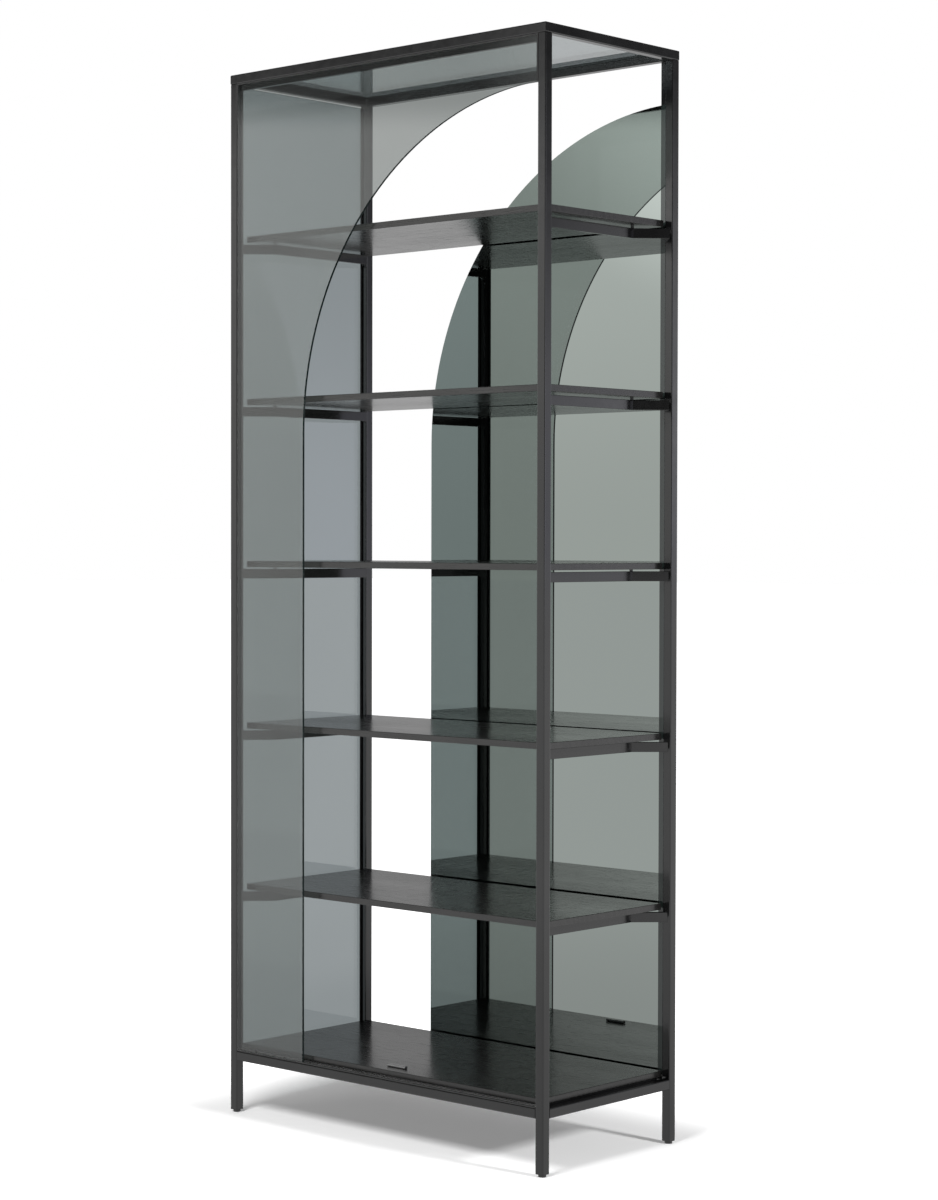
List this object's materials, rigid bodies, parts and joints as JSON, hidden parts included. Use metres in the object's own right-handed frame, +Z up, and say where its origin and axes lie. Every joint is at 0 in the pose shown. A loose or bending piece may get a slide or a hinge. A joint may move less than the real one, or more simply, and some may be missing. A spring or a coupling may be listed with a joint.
{
  "type": "display cabinet",
  "caption": "Tall open display case: square-tube frame, smoked front, side and top panes with an arched cut-out, an arched mirror behind, and cranked bars under loose wooden shelves.",
  "frame": {"origin": "on the floor under the middle of the case", "axes": "+X to the viewer's right along the width, +Y to the rear, +Z up; the arched opening faces -Y"},
  "size_m": [0.88, 0.41, 2.2],
  "materials": {
    "black_steel": "black satin, slightly glossy",
    "black_oak": "open-pored black-stained veneer, satin",
    "smoked_glass": "polished grey-green smoked float glass",
    "smoked_mirror": "polished smoked mirror",
    "black_rubber": "matt black",
    "black_plastic": "matt black",
    "glide_nylon": "matt black nylon",
    "pale_metal": "brushed grey",
    "tag_metal": "dark brushed metal, plain"
  },
  "bodies": {
    "case": {"base_board": "black_oak", "base_ledge_left": "black_steel", "base_ledge_right": "black_steel", "base_tag": "tag_metal", "bottom_rail_front": "black_steel", "bottom_rail_left": "black_steel", "bottom_rail_rear": "black_steel", "bottom_rail_right": "black_steel", "front_gasket": "black_rubber", "front_glass": "smoked_glass", "front_header": "black_steel", "left_glass": "smoked_glass", "left_glass_tape_front": "black_rubber", "left_glass_tape_rear": "black_rubber", "leg_plug_front_left": "black_plastic", "leg_plug_front_right": "black_plastic", "leg_plug_rear_left": "black_plastic", "leg_plug_rear_right": "black_plastic", "mirror": "smoked_mirror", "mirror_flange": "black_steel", "mirror_gasket": "black_rubber", "post_front_left": "black_steel", "post_front_right": "black_steel", "post_rear_left": "black_steel", "post_rear_right": "black_steel", "shelf_1": "black_oak", "shelf_1_bar_left": "black_steel", "shelf_1_bar_right": "black_steel", "shelf_2": "black_oak", "shelf_2_bar_left": "black_steel", "shelf_2_bar_right": "black_steel", "shelf_3": "black_oak", "shelf_3_bar_left": "black_steel", "shelf_3_bar_right": "black_steel", "shelf_4": "black_oak", "shelf_4_bar_left": "black_steel", "shelf_4_bar_right": "black_steel", "shelf_5": "black_oak", "shelf_5_bar_left": "black_steel", "shelf_5_bar_right": "black_steel", "sill_strip": "pale_metal", "top_glass": "smoked_glass", "top_rail_front": "black_steel", "top_rail_left": "black_steel", "top_rail_rear": "black_steel", "top_rail_right": "black_steel"},
    "glide_front_left": {"glide_front_left": "glide_nylon"},
    "glide_front_right": {"glide_front_right": "glide_nylon"},
    "glide_rear_left": {"glide_rear_left": "glide_nylon"},
    "glide_rear_right": {"glide_rear_right": "glide_nylon"}
  },
  "joints": [
    {"name": "glide_front_left_turn", "type": "hinge", "parent": "case", "child": "glide_front_left", "pos_m": [-0.43, -0.195, 0], "axis": [0, 0, -1], "range_deg": [0, 2880]},
    {"name": "glide_front_right_turn", "type": "hinge", "parent": "case", "child": "glide_front_right", "pos_m": [0.43, -0.195, 0], "axis": [0, 0, -1], "range_deg": [0, 2880]},
    {"name": "glide_rear_left_turn", "type": "hinge", "parent": "case", "child": "glide_rear_left", "pos_m": [-0.43, 0.195, 0], "axis": [0, 0, -1], "range_deg": [0, 2880]},
    {"name": "glide_rear_right_turn", "type": "hinge", "parent": "case", "child": "glide_rear_right", "pos_m": [0.43, 0.195, 0], "axis": [0, 0, -1], "range_deg": [0, 2880]}
  ]
}
